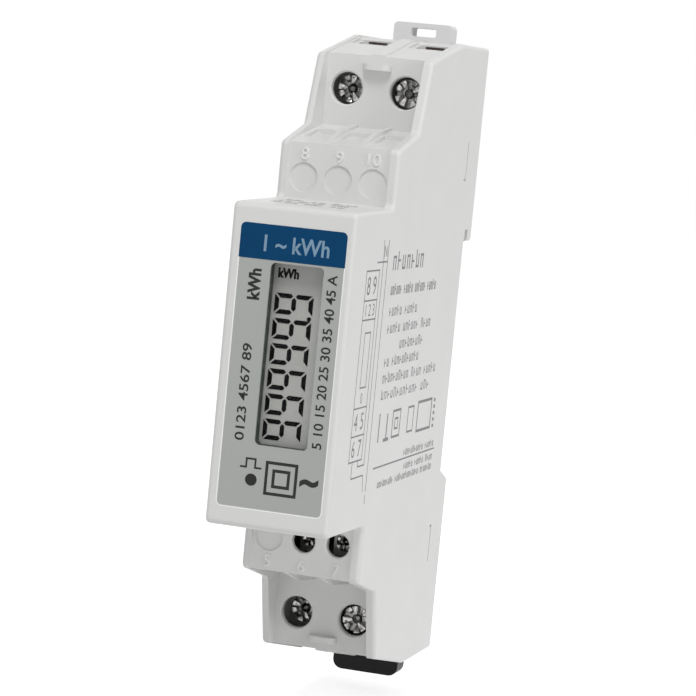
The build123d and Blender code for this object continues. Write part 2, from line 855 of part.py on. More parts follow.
def on_board(height, y, z, depth, length):
    """A box that stands on the main board's left face, centred at Y and Z."""
    return block(main_board_x - height, main_board_x, y - depth / 2, y + depth / 2,
                 z - length / 2, z + length / 2)


def chip_on_board(chip, y, z):
    """A chip package on the main board's left face."""
    return Plane(origin=(main_board_x, y, z), x_dir=(0, 1, 0), z_dir=(-1, 0, 0)) * package(chip)


def board_header():
    """Pin header from the main board to the display board."""
    y0 = board_front + header_gap
    body = on_board(header_height, y0 + header_depth / 2, 0, header_depth, header_pins * header_pitch)
    half = header_pin / 2
    x = main_board_x - header_height / 2
    pins = []
    for index in range(header_pins):
        z = (index - (header_pins - 1) / 2) * header_pitch
        pins.append(block(x - half, x + half, display_board_back, y0 + bite, z - half, z + half))
    return body + pins


def metering_chip():
    """Measuring chip."""
    return chip_on_board(metering_package, board_back - metering_offset, metering_z)


def dropper_capacitor():
    """Film capacitor that drops the mains voltage."""
    box = on_board(dropper_height, board_shoulder + dropper_offset, dropper_z, dropper_depth, dropper_length)
    return fillet(box.edges().filter_by(Axis.X), dropper_round)


def smoothing_capacitor():
    """Electrolytic capacitor lying on the board."""
    can = Cylinder(smoothing_radius, smoothing_length)
    return Pos(main_board_x - smoothing_radius, board_back - smoothing_offset, smoothing_z) * can


def varistor():
    """Coated disc that takes surges, standing on the board."""
    y = board_shoulder + varistor_offset
    centre = Pos(main_board_x - varistor_radius - varistor_gap, y, varistor_z)
    solid = centre * Cylinder(varistor_radius, varistor_thickness)
    for leg_y in (y - varistor_leg_offset, y + varistor_leg_offset):
        solid += on_board(varistor_gap + varistor_leg_grip, leg_y, varistor_z, wire_width, wire_width)
    return solid


def power_resistor():
    """Cement-coated resistor lying across the board's neck."""
    x, y = main_board_x - resistor_radius - resistor_gap, board_front + resistor_offset
    solid = Pos(x, y, resistor_z) * Cylinder(resistor_radius, resistor_length)
    for side in (-1, 1):
        end = resistor_z + side * (resistor_length / 2 + resistor_bend)
        wire = Cylinder(wire_width / 2, resistor_bend + 2 * bite)
        solid += Pos(x, y, end - side * resistor_bend / 2) * wire
        solid += on_board(resistor_radius + resistor_gap, y, end, wire_width, wire_width)
    return solid


def crystal():
    """Metal can of the clock crystal."""
    can = on_board(crystal_height, board_shoulder + crystal_offset, crystal_z, crystal_depth, crystal_length)
    return fillet(can.edges().filter_by(Axis.X), crystal_round)


def optocoupler():
    """Isolating coupler between the meter and its pulse terminals."""
    return chip_on_board(coupler_package, board_back - coupler_offset, coupler_end_gap - board_end)


def rectifier():
    """Bridge rectifier."""
    return chip_on_board(rectifier_package, board_back - rectifier_offset, rectifier_z)


def current_bar(x, z0, z1):
    """Flat bar that carries the current behind the boards."""
    return block(x - bar_width / 2, x + bar_width / 2, bar_front, bar_back, z0, z1)


def sense_leads():
    """Two bent wires from the ends of the shunt to the main board."""
    leads = []
    x0, x1 = -main_pitch / 2 + bar_width / 4, main_board_x
    y0, y1 = bar_front, board_back - main_board_thickness
    for z in (-shunt_length / 2 - sense_wire_bend, shunt_length / 2 + sense_wire_bend):
        path = FilletPolyline((x0, y0, z), (x0, y1, z), (x1, y1, z), radius=sense_wire_bend)
        profile = Plane(origin=(x0, y0, z), z_dir=(0, -1, 0)) * Circle(sense_wire_radius)
        leads.append(sweep(profile, path=path))
    return Compound(children=leads)


def board_tab(y0, y1, z, height):
    """Flat tab in line with the main board's thickness."""
    x0 = main_board_x + (main_board_thickness - tab_thickness) / 2
    return block(x0, x0 + tab_thickness, y0, y1, z - height / 2, z + height / 2)


def neutral_lead():
    """Short tab from the neutral bar to the edge of the main board."""
    return board_tab(board_back, bar_front, neutral_tab_z, neutral_tab_height)


def terminal_frame(terminal, x, z, tail=None):
    """Steel frame of a clamp, open along Z, with a hole for its screw."""
    w, h, t = terminal.frame_half_width, terminal.frame_half_height, terminal.frame_wall
    frame = block(x - w, x + w, terminal.frame_front, terminal.frame_back, z - h, z + h)
    frame -= block(x - w + t, x + w - t, terminal.frame_front + t, terminal.floor, z - h - past, z + h + past)
    frame -= rod(terminal.shank_radius + terminal.running_gap, x, z,
                 terminal.frame_front - past, terminal.frame_front + t + bite)
    if tail is not None:
        frame += tail
    return frame


def clamp_plate(terminal, x, z, depth):
    """Plate that the screw drives against the wire."""
    front = terminal.plate_front_open + depth - terminal.shallow
    back = front + terminal.plate_thickness
    half_x = terminal.frame_half_width - terminal.frame_wall - plate_side_gap
    half_z = terminal.frame_half_height - plate_end_gap
    pad = block(x - half_x, x + half_x, front, back, z - half_z, z + half_z)
    return pad - rod(terminal.pin_radius + terminal.running_gap, x, z, front - past, back + past)


def terminal_screw(terminal, x, z, depth, turn):
    """Clamp screw with a cross and a slot in its head and a plain pin at its end."""
    top = terminal.face + depth
    under = top + terminal.head_height
    tip = under + terminal.shank_length - terminal.running_gap
    r = terminal.head_radius
    head = Rot(90, 0, 0) * Cylinder(r, terminal.head_height)
    head = chamfer(head.edges().group_by(Axis.Y)[0], head_chamfer_share * r)
    depth_cut, slot, thin = 2 * recess_depth_share * r, slot_width_share * r, cross_width_share * r
    recess = Box(slot, depth_cut, slot_length_share * r) + Box(slot_arm_share * r, depth_cut, slot)
    arm = cross_length_share * r
    cross = Rot(0, 45, 0) * (Box(thin, depth_cut, arm) + Box(arm, depth_cut, thin))
    head -= Pos(0, -terminal.head_height / 2, 0) * (recess + cross)
    head = Pos(x, (top + under) / 2, z) * Rot(0, turn, 0) * head
    shank = rod(terminal.shank_radius, x, z, under - bite, tip)
    pin = rod(terminal.pin_radius, x, z, tip - bite, tip + pin_share * terminal.plate_thickness)
    return head + shank + pin


def pulse_tail(number, x, z):
    """Tail of a pulse clamp's frame that reaches the main board."""
    back = pulse_terminal.frame_back
    if number == 7:
        return board_tab(back, board_notch, z, pulse_tail_height)
    low, high = z - pulse_tail_height / 2, z + pulse_tail_height / 2
    left, right = x - pulse_tail_width / 2, x + pulse_tail_width / 2
    y1 = board_notch + pulse_tail_reach
    drop = block(left, right, back, y1, low, high)
    return drop + block(left, main_board_x, y1 - pulse_tail_thickness, y1, low, high)


def all_parts():
    """Every piece of the meter by name."""
    parts = {
        "housing_tub": housing_tub(),
        "side_cover": side_cover(),
        "front_label": front_label(),
        "label_band": label_band(),
        "display_window": display_window(),
        "lamp_window": lamp_window(),
        "display_glass": display_glass(),
        "display_segments": display_segments(),
        "display_frame": display_frame(),
        "contact_strips": contact_strips(),
        "display_board": display_board(),
        "display_driver": display_driver(),
        "pulse_lamp": pulse_lamp(),
        "main_board": main_board(),
        "board_header": board_header(),
        "metering_chip": metering_chip(),
        "dropper_capacitor": dropper_capacitor(),
        "smoothing_capacitor": smoothing_capacitor(),
        "varistor": varistor(),
        "power_resistor": power_resistor(),
        "crystal": crystal(),
        "optocoupler": optocoupler(),
        "rectifier": rectifier(),
        "sense_leads": sense_leads(),
        "neutral_lead": neutral_lead(),
        "rail_clip_upper": rail_clip(upper_clip),
        "rail_clip_lower": mirrored(rail_clip(lower_clip)),
    }
    end = main_z + main_terminal.frame_half_height
    half_shunt = shunt_length / 2
    parts["line_bar_lower"] = current_bar(-main_pitch / 2, -end, -half_shunt)
    parts["line_bar_upper"] = current_bar(-main_pitch / 2, half_shunt, end)
    parts["shunt"] = current_bar(-main_pitch / 2, -half_shunt, half_shunt)
    parts["neutral_bar"] = current_bar(main_pitch / 2, -end, end)
    for number, x, z, depth, turn in main_places:
        parts[f"terminal_frame_{number}"] = terminal_frame(main_terminal, x, z)
        parts[f"clamp_plate_{number}"] = clamp_plate(main_terminal, x, z, depth)
        parts[f"terminal_screw_{number}"] = terminal_screw(main_terminal, x, z, depth, turn)
    for number, x, z, depth, turn in pulse_places:
        tail = pulse_tail(number, x, z)
        parts[f"pulse_frame_{number}"] = terminal_frame(pulse_terminal, x, z, tail)
        parts[f"pulse_plate_{number}"] = clamp_plate(pulse_terminal, x, z, depth)
        parts[f"pulse_screw_{number}"] = terminal_screw(pulse_terminal, x, z, depth, turn)
    return parts


os.makedirs("parts", exist_ok=True)
for name, solid in all_parts().items():
    export_step(solid, f"parts/{name}.step")
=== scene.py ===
"""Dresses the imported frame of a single-phase energy meter.

Lengths are in metres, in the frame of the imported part: X is the width, Y the depth with
the front at -Y, Z the height.
"""
import json
import math

import bmesh
import bpy
from bpy.props import FloatProperty, FloatVectorProperty, IntProperty, PointerProperty
from mathutils import Matrix, Vector


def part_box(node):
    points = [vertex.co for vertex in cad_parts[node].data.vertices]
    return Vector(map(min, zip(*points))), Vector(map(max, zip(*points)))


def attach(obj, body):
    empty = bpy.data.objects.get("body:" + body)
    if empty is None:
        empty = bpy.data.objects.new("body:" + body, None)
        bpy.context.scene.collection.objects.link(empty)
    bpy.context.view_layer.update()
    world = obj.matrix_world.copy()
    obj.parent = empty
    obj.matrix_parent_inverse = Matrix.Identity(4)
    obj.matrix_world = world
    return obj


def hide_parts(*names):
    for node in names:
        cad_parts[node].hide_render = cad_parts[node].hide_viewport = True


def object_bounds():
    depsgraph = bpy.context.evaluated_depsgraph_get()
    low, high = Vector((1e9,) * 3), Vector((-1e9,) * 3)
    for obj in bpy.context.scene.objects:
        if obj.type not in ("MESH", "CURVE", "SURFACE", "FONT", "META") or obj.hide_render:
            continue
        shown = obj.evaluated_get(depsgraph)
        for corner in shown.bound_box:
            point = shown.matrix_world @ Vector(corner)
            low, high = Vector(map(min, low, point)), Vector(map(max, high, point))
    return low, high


bl_info = {
    "name": "Rail Mounted Energy Meter",
    "version": (1, 0, 0),
    "blender": (4, 5, 0),
    "location": "3D View > Sidebar > Energy Meter",
    "description": "Finishes, print, relief and screws for the packed frame of an energy meter",
    "category": "Object",
}

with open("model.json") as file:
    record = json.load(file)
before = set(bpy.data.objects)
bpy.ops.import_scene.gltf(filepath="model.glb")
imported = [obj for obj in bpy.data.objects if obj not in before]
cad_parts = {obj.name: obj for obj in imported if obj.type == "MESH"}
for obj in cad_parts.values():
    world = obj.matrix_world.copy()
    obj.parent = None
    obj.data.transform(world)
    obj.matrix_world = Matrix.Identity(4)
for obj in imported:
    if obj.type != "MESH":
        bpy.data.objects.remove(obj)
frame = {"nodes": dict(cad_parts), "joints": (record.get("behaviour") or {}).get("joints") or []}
cad_low, cad_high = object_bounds()
nodes = frame["nodes"]

MM = 0.001
X_AXIS, Y_AXIS, Z_AXIS = Vector((1, 0, 0)), Vector((0, 1, 0)), Vector((0, 0, 1))

# Faces that carry print and relief, read from the frame.
label_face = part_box("front_label")[0].y
label_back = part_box("front_label")[1].y
band_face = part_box("label_band")[0].y
cell_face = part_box("display_glass")[0].y
side_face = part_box("side_cover")[1].x
pane_low, pane_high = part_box("display_window")

# The sunk face round the pulse terminals, the nose's wall that the pane stands in, and the pane's flange.
PULSE_FACE = -41.4 * MM
NOSE_WALL = 1.55 * MM
PANE_FLANGE = 1.0 * MM

# The top of the nose: its height at the front, and how much it rises for each step back.
NOSE_FRONT_Z = 22.4 * MM
NOSE_SLOPE = 0.4 / 18.3


def tone(*levels):
    """Linear colour of one grey level, or of three levels from 0 to 255 as a screen shows them."""
    levels = levels * 3 if len(levels) == 1 else levels
    shares = [level / 255 for level in levels]
    return [s / 12.92 if s <= 0.04045 else ((s + 0.055) / 1.055) ** 2.4 for s in shares]


def colour_property(name, description, *levels):
    """A colour setting whose default is given in screen levels."""
    return FloatVectorProperty(
        name=name, description=description, default=tone(*levels), subtype="COLOR", min=0.0, max=1.0)


def length_property(name, description, millimetres):
    """A length setting whose default is given in millimetres."""
    return FloatProperty(
        name=name, description=description, default=millimetres * MM, subtype="DISTANCE", unit="LENGTH",
        precision=5)


def share_property(name, description, share):
    """A setting from 0 to 1."""
    return FloatProperty(
        name=name, description=description, default=share, min=0.0, max=1.0, subtype="FACTOR")


class MeterHousingSettings(bpy.types.PropertyGroup):
    """Finish of the moulded housing and its relief."""

    plastic: colour_property("Plastic", "Colour of the housing's moulded plastic", 227, 227, 226)
    grain: length_property("Grain", "Size of the fine grain of the mould", 0.22)
    grain_depth: length_property("Grain depth", "Depth of the fine grain of the mould", 0.004)
    # Numbers: a paler plastic than the housing, a painted highlight standing in for the light the raised
    # numbers catch.
    numbers: colour_property("Numbers", "Colour of the polished tops of the raised numbers", 240, 240, 239)
    relief: length_property("Relief", "How far the raised numbers stand proud", 0.18)
    number_height: length_property("Number height", "Height of the raised numbers", 1.7)


class MeterLabelSettings(bpy.types.PropertyGroup):
    """Finish and print of the front label, and the painted highlight round its edge."""

    film: colour_property("Film", "Colour of the label's film", 172, 175, 171)
    band: colour_property("Band", "Colour of the printed band", 9, 66, 108)
    print_ink: colour_property("Print", "Colour of the dark print", 54, 56, 54)
    band_ink: colour_property("Band print", "Colour of the lettering on the band", 122, 152, 176)
    ink: length_property("Ink", "Thickness of the printed ink", 0.01)
    # Edge: a near-white band round the film, a painted highlight where the label's border catches light.
    edge: colour_property("Edge", "Colour of the film's bare edge", 254, 254, 253)
    edge_width: length_property("Edge width", "Width of the film's bare edge", 0.16)


class MeterDisplaySettings(bpy.types.PropertyGroup):
    """Finish of the display behind its pane, and the painted shade on the wall of its opening."""

    cell: colour_property("Cell", "Colour of the liquid-crystal cell", 194, 195, 191)
    segments: colour_property("Segments", "Colour of the lit segments", 5, 5, 6)
    # Rim: a dark liner on the opening's wall, painted shade where that wall is in shadow.
    rim: colour_property("Rim", "Colour of the dark rim in the opening", 58, 66, 64)
    shade_liner_wall: length_property("Rim wall", "Thickness of the dark rim", 0.06)
    pane_cover: share_property("Pane cover", "How much of the cell the pane's surface hides", 0.03)


class MeterScrewSettings(bpy.types.PropertyGroup):
    """Shape and finish of the terminal screws, with painted shade down in their recesses."""

    steel: colour_property("Steel", "Colour of the bright screws", 158, 157, 155)
    # Recess: painted shade, a dark colour laid into the screws' recesses where they fall into shadow.
    recess: colour_property("Recess", "Colour down in the recess of the screws", 66, 66, 66)
    well: share_property("Well", "Width of the recess in the middle, as a share of the head's width", 0.3)
    well_depth: share_property("Well depth", "Depth of that recess, as a share of the head's height", 0.62)
    ledge: share_property("Ledge", "Depth of the slots, as a share of the head's height", 0.45)
    steps: IntProperty(name="Steps", description="Steps in one turn of a screw", default=40, min=12, max=96)


class MeterSidePrintSettings(bpy.types.PropertyGroup):
    """Print on the flat side."""

    ink: colour_property("Ink", "Colour of the print on the side", 112, 112, 112)
    stroke: length_property("Stroke", "Width of the diagram's lines", 0.22)
    height: length_property("Ink height", "Thickness of the printed ink", 0.006)


class MeterStageSettings(bpy.types.PropertyGroup):
    """Camera, floor and light."""

    azimuth: FloatProperty(
        name="Azimuth", description="Camera's angle round the meter", default=math.radians(16.26),
        subtype="ANGLE", unit="ROTATION")
    elevation: FloatProperty(
        name="Elevation", description="Camera's angle above the horizon", default=math.radians(4.97),
        subtype="ANGLE", unit="ROTATION")
    roll: FloatProperty(
        name="Roll", description="Camera's turn about its own view", default=math.radians(5.51),
        subtype="ANGLE", unit="ROTATION")
    distance: length_property("Distance", "From the camera to the point it looks at", 424.02)
    lens: FloatProperty(
        name="Lens", description="Focal length of the camera in millimetres", default=147.73, min=1.0)
    surround: FloatProperty(
        name="Surround", description="Strength of the light from all round", default=0.37, min=0.0)
    key: FloatProperty(
        name="Key light", description="Power of the light from above in watts", default=7.2, min=0.0)
    side: FloatProperty(
        name="Side light", description="Power of the light from the right in watts", default=3.2, min=0.0)


# Node finishes.
def noise(tree, size, detail=3.0, stretch=(1, 1, 1)):
    """Noise on object coordinates whose patches measure about the given size."""
    place = tree.nodes.new("ShaderNodeTexCoord")
    mapping = tree.nodes.new("ShaderNodeMapping")
    mapping.inputs["Scale"].default_value = [s / size for s in stretch]
    texture = tree.nodes.new("ShaderNodeTexNoise")
    texture.inputs["Scale"].default_value = 1.0
    texture.inputs["Detail"].default_value = detail
    tree.links.new(place.outputs["Object"], mapping.inputs["Vector"])
    tree.links.new(mapping.outputs["Vector"], texture.inputs["Vector"])
    return texture.outputs[0]


def blend_colours(tree, share, first, second):
    """Mix of two colours by a share that varies over the surface."""
    mix = tree.nodes.new("ShaderNodeMix")
    mix.data_type = "RGBA"
    for socket, colour in ((mix.inputs[6], first), (mix.inputs[7], second)):
        if isinstance(colour, bpy.types.NodeSocket):
            tree.links.new(colour, socket)
        else:
            socket.default_value = (*colour, 1.0)
    tree.links.new(share, mix.inputs[0])
    return mix.outputs[2]


def remap(tree, value, low, high, source=(0.3, 0.7)):
    """A varying value stretched to run from low to high."""
    node = tree.nodes.new("ShaderNodeMapRange")
    node.inputs["From Min"].default_value = source[0]
    node.inputs["From Max"].default_value = source[1]
    node.inputs["To Min"].default_value = low
    node.inputs["To Max"].default_value = high
    tree.links.new(value, node.inputs["Value"])
    return node.outputs["Result"]


def shade(colour, factor):
    """A colour made lighter or darker, kept within range."""
    return [min(1.0, c * factor) for c in colour]


def finish(name, colour, roughness, variation=0.03, patch=6.0, grain=0.25, depth=0.004,
           stretch=(1, 1, 1), constants=None):
    """Material with mottled colour, uneven gloss and a fine grain. Lengths in millimetres."""
    material = bpy.data.materials.new(name)
    material.use_nodes = True
    tree = material.node_tree
    shader = tree.nodes["Principled BSDF"]
    patches = noise(tree, patch * MM)
    share = remap(tree, patches, 0.0, 1.0)
    mottled = blend_colours(tree, share, shade(colour, 1 - variation), shade(colour, 1 + variation))
    tree.links.new(mottled, shader.inputs["Base Color"])
    gloss = remap(tree, noise(tree, 0.6 * patch * MM, 4.0), 0.86 * roughness, 1.14 * roughness)
    tree.links.new(gloss, shader.inputs["Roughness"])
    bump = tree.nodes.new("ShaderNodeBump")
    bump.inputs["Strength"].default_value = 1.0
    bump.inputs["Distance"].default_value = depth * MM
    tree.links.new(noise(tree, grain * MM, 2.0, stretch), bump.inputs["Height"])
    tree.links.new(bump.outputs["Normal"], shader.inputs["Normal"])
    for socket, value in (constants or {}).items():
        shader.inputs[socket].default_value = value
    return material


def base_colour(material):
    """Node tree and shader of a finish, and what drives its base colour."""
    tree = material.node_tree
    shader = tree.nodes["Principled BSDF"]
    return tree, shader, shader.inputs["Base Color"].links[0].from_socket


def steel_finish(name, colour, roughness, grain=0.12, stretch=(1, 1, 1), depth=0.002):
    """Metal with fine marks left by drawing, rolling or turning."""
    return finish(name, colour, roughness, variation=0.08, patch=1.4, grain=grain, depth=depth,
                  stretch=stretch, constants={"Metallic": 1.0})


def screw_finish(name, colour, recess_shade_colour):
    """Plated steel whose uneven brightness is partly painted glints, with painted shade down in the recess of
    a head.
    """
    # The steel's colour runs in strong bright and dark patches, partly uneven plating and partly painted
    # glints of the head's facets.
    material = finish(name, colour, 0.2, variation=0.8, patch=0.55, grain=0.6, depth=0.06,
                      constants={"Metallic": 1.0})
    tree, shader, base = base_colour(material)
    # Painted shade: the head's recess attribute darkens the steel towards the recess colour.
    recess_shade_mask = tree.nodes.new("ShaderNodeAttribute")
    recess_shade_mask.attribute_name = "recess"
    tree.links.new(blend_colours(tree, recess_shade_mask.outputs["Fac"], base, recess_shade_colour), shader.inputs["Base Color"])
    return material


def board_finish(name):
    """Solder mask with the tracks showing through it."""
    material = finish(name, tone(24, 92, 52), 0.32, variation=0.05, patch=5.0, grain=0.3, depth=0.003,
                      constants={"Coat Weight": 0.3, "Coat Roughness": 0.15})
    tree, shader, base = base_colour(material)
    place = tree.nodes.new("ShaderNodeTexCoord")
    mapping = tree.nodes.new("ShaderNodeMapping")
    mapping.inputs["Scale"].default_value = (420.0, 420.0, 420.0)
    mapping.inputs["Rotation"].default_value = (math.radians(90), 0, math.radians(90))
    bricks = tree.nodes.new("ShaderNodeTexBrick")
    bricks.inputs["Scale"].default_value = 1.0
    bricks.inputs["Mortar Size"].default_value = 0.07
    bricks.inputs["Mortar Smooth"].default_value = 0.15
    tree.links.new(place.outputs["Object"], mapping.inputs["Vector"])
    tree.links.new(mapping.outputs["Vector"], bricks.inputs["Vector"])
    tree.links.new(blend_colours(tree, bricks.outputs["Fac"], base, tone(58, 138, 78)),
                   shader.inputs["Base Color"])
    return material


def striped_finish(name):
    """Contact rubber: conducting and insulating layers in turn."""
    material = finish(name, tone(140, 134, 128), 0.6, variation=0.05, patch=1.5, grain=0.15)
    tree, shader, base = base_colour(material)
    place = tree.nodes.new("ShaderNodeTexCoord")
    stripes = tree.nodes.new("ShaderNodeTexWave")
    stripes.bands_direction = "Z"
    stripes.inputs["Scale"].default_value = 1000.0
    tree.links.new(place.outputs["Object"], stripes.inputs["Vector"])
    dark = remap(tree, stripes.outputs["Fac"], 0.0, 1.0, (0.45, 0.55))
    tree.links.new(blend_colours(tree, dark, base, tone(30)), shader.inputs["Base Color"])
    return material


def dress(material, *names):
    """Gives a finish to CAD nodes through their material slots."""
    for name in names:
        slots = nodes[name].material_slots
        if not slots:
            nodes[name].data.materials.append(material)
        for slot in slots:
            slot.material = material


# Modelling helpers.
def plane_at(origin, along, up):
    """Matrix of a flat place: X runs along the print, Y up it and Z out of the surface."""
    turned = Matrix((along, up, along.cross(up))).transposed().to_4x4()
    return Matrix.Translation(origin) @ turned


def add_bar(shape, place, x, y, width, height, depth, angle=0.0):
    """Thin bar on a place, centred at x and y."""
    move = Matrix.Translation((x, y, depth / 2)) @ Matrix.Rotation(angle, 4, "Z")
    bmesh.ops.create_cube(shape, size=1.0, matrix=place @ move @ Matrix.Diagonal((width, height, depth, 1)))


def add_line(shape, place, points, stroke, depth):
    """Line through points. Each stretch starts where the corner before it ends."""
    closed = points[0] == points[-1]
    for index, ((x0, y0), (x1, y1)) in enumerate(zip(points, points[1:])):
        length = math.hypot(x1 - x0, y1 - y0)
        ahead = Vector((x1 - x0, y1 - y0)) / length
        start = stroke / 2 if index or closed else -stroke / 2
        middle = Vector((x0, y0)) + ahead * (start + length + stroke / 2) / 2
        add_bar(shape, place, middle.x, middle.y, length + stroke / 2 - start, stroke, depth,
                math.atan2(ahead.y, ahead.x))


def add_frame(shape, place, x, y, width, height, stroke, depth):
    """Outline of a rectangle centred at x and y, as wide and high as given outside."""
    right, top = x + (width - stroke) / 2, y + (height - stroke) / 2
    left, bottom = x - (width - stroke) / 2, y - (height - stroke) / 2
    corners = [(left, bottom), (right, bottom), (right, top), (left, top), (left, bottom)]
    add_line(shape, place, corners, stroke, depth)


def add_marks(shape, place, row, stroke, depth):
    """Row of upright strokes in groups, as long and high as a printed line of words.

    Each mark has a left stroke, often a right one, and a thinner bar across at one of three heights.
    """
    start, end, middle, height, groups = row
    pitch = (end - start) / (sum(groups) + len(groups) - 1)
    left, right, bar_width, bar_share = 0.25 * pitch, 0.22 * pitch, 0.5 * pitch, 0.8
    base, low_height = middle - height / 2, 0.78 * height
    for count in groups:
        for index in range(count):
            tall = height if (index * 5 + count) % 4 == 0 else low_height
            x = start + (index + 0.5) * pitch
            add_bar(shape, place, x - left, base + tall / 2, stroke, tall, depth)
            if (index + count) % 3 < 2:
                add_bar(shape, place, x + right, base + low_height / 2, stroke, low_height, depth)
            across = base + tall * (0.1, 0.9, 0.5)[(index * 7 + count) % 3]
            add_bar(shape, place, x, across, bar_width, bar_share * stroke, bar_share * depth)
        start += (count + 1) * pitch


def add_rounded_field(shape, place, width, height, corner):
    """Flat rectangle with round corners, centred on a place."""
    bmesh.ops.create_grid(shape, x_segments=1, y_segments=1, size=0.5,
                          matrix=place @ Matrix.Diagonal((width, height, 1, 1)))
    bmesh.ops.bevel(shape, geom=list(shape.verts), offset=corner, offset_type="OFFSET", segments=5,
                    profile=0.5, affect="VERTICES", material=-1)


def raise_faces(shape, move, keep_first=False):
    """Extrudes every face by a move, and gives back the points that moved."""
    raised = bmesh.ops.extrude_face_region(shape, geom=list(shape.faces), use_keep_orig=keep_first)
    lifted = [v for v in raised["geom"] if isinstance(v, bmesh.types.BMVert)]
    bmesh.ops.translate(shape, verts=lifted, vec=move)
    return lifted


def add_words(shape, place, words, height, depth, weight=0.0, width=None):
    """Raised words centred on a place. Their height is that of their tallest letter."""
    curve = bpy.data.curves.new("words", "FONT")
    curve.body = words
    curve.extrude = 0.5
    curve.offset = weight
    curve.resolution_u = 4
    holder = bpy.data.objects.new("words", curve)
    bpy.context.scene.collection.objects.link(holder)
    bpy.context.view_layer.update()
    letters = bpy.data.meshes.new_from_object(holder)
    low = [min(v.co[i] for v in letters.vertices) for i in range(3)]
    high = [max(v.co[i] for v in letters.vertices) for i in range(3)]
    scale = height / (high[1] - low[1])
    across = width / (high[0] - low[0]) if width else scale
    centre = Vector(((low[0] + high[0]) / 2, (low[1] + high[1]) / 2, low[2]))
    size = Matrix.Diagonal((across, scale, depth / (high[2] - low[2]), 1))
    letters.transform(place @ size @ Matrix.Translation(-centre))
    shape.from_mesh(letters)
    bpy.data.objects.remove(holder)
    bpy.data.curves.remove(curve)
    bpy.data.meshes.remove(letters)


def add_piece(name, shape, material, body="root", smooth=False):
    """Ends a shape as a piece of the meter that rides on a body."""
    bmesh.ops.recalc_face_normals(shape, faces=shape.faces)
    mesh = bpy.data.meshes.new(name)
    shape.to_mesh(mesh)
    shape.free()
    mesh.materials.append(material)
    if smooth:
        mesh.polygons.foreach_set("use_smooth", [True] * len(mesh.polygons))
        mesh.set_sharp_from_angle(angle=math.radians(32))
    piece = bpy.data.objects.new(name, mesh)
    bpy.context.scene.collection.objects.link(piece)
    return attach(piece, body)


class METER_OT_housing(bpy.types.Operator):
    """Finish the moulded housing and add its raised numbers"""

    bl_idname = "meter.housing"
    bl_label = "Housing"

    # Raised numbers: text, X and Z of the middle.
    numbers = (
        ("8", -5.17, 29.35), ("9", 0.0, 29.25), ("10", 5.1, 29.4),
        ("5", -5.14, -29.5), ("6", 0.05, -29.6), ("7", 5.26, -29.6),
    )

    def execute(self, context):
        look = context.scene.meter_housing
        plastic = finish("moulded_plastic", look.plastic, 0.36, variation=0.006, patch=9.0,
                         grain=look.grain / MM, depth=look.grain_depth / MM,
                         constants={"Specular IOR Level": 0.26})
        dress(plastic, "housing_tub", "side_cover")
        shape = bmesh.new()
        for words, x, z in self.numbers:
            place = plane_at(Vector((x * MM, PULSE_FACE, z * MM)), X_AXIS, Z_AXIS)
            add_words(shape, place, words, look.number_height, look.relief, weight=-0.006)
        # Painted highlight: the numbers get a paler plastic so they stand out as if catching light.
        painted_highlight = finish("polished_plastic", look.numbers, 0.3, variation=0.005, patch=4.0,
                          constants={"Specular IOR Level": 0.5})
        add_piece("raised_numbers", shape, painted_highlight)
        return {"FINISHED"}


class METER_OT_clips(bpy.types.Operator):
    """Finish the two rail clips"""

    bl_idname = "meter.clips"
    bl_label = "Rail clips"

    def execute(self, context):
        white = finish("clip_plastic_white", tone(226), 0.42, variation=0.01, patch=5.0, grain=0.3)
        black = finish("clip_plastic_black", tone(20), 0.42, variation=0.12, patch=3.0, grain=0.3,
                       depth=0.006, constants={"Specular IOR Level": 0.2})
        dress(white, "rail_clip_upper")
        dress(black, "rail_clip_lower")
        return {"FINISHED"}


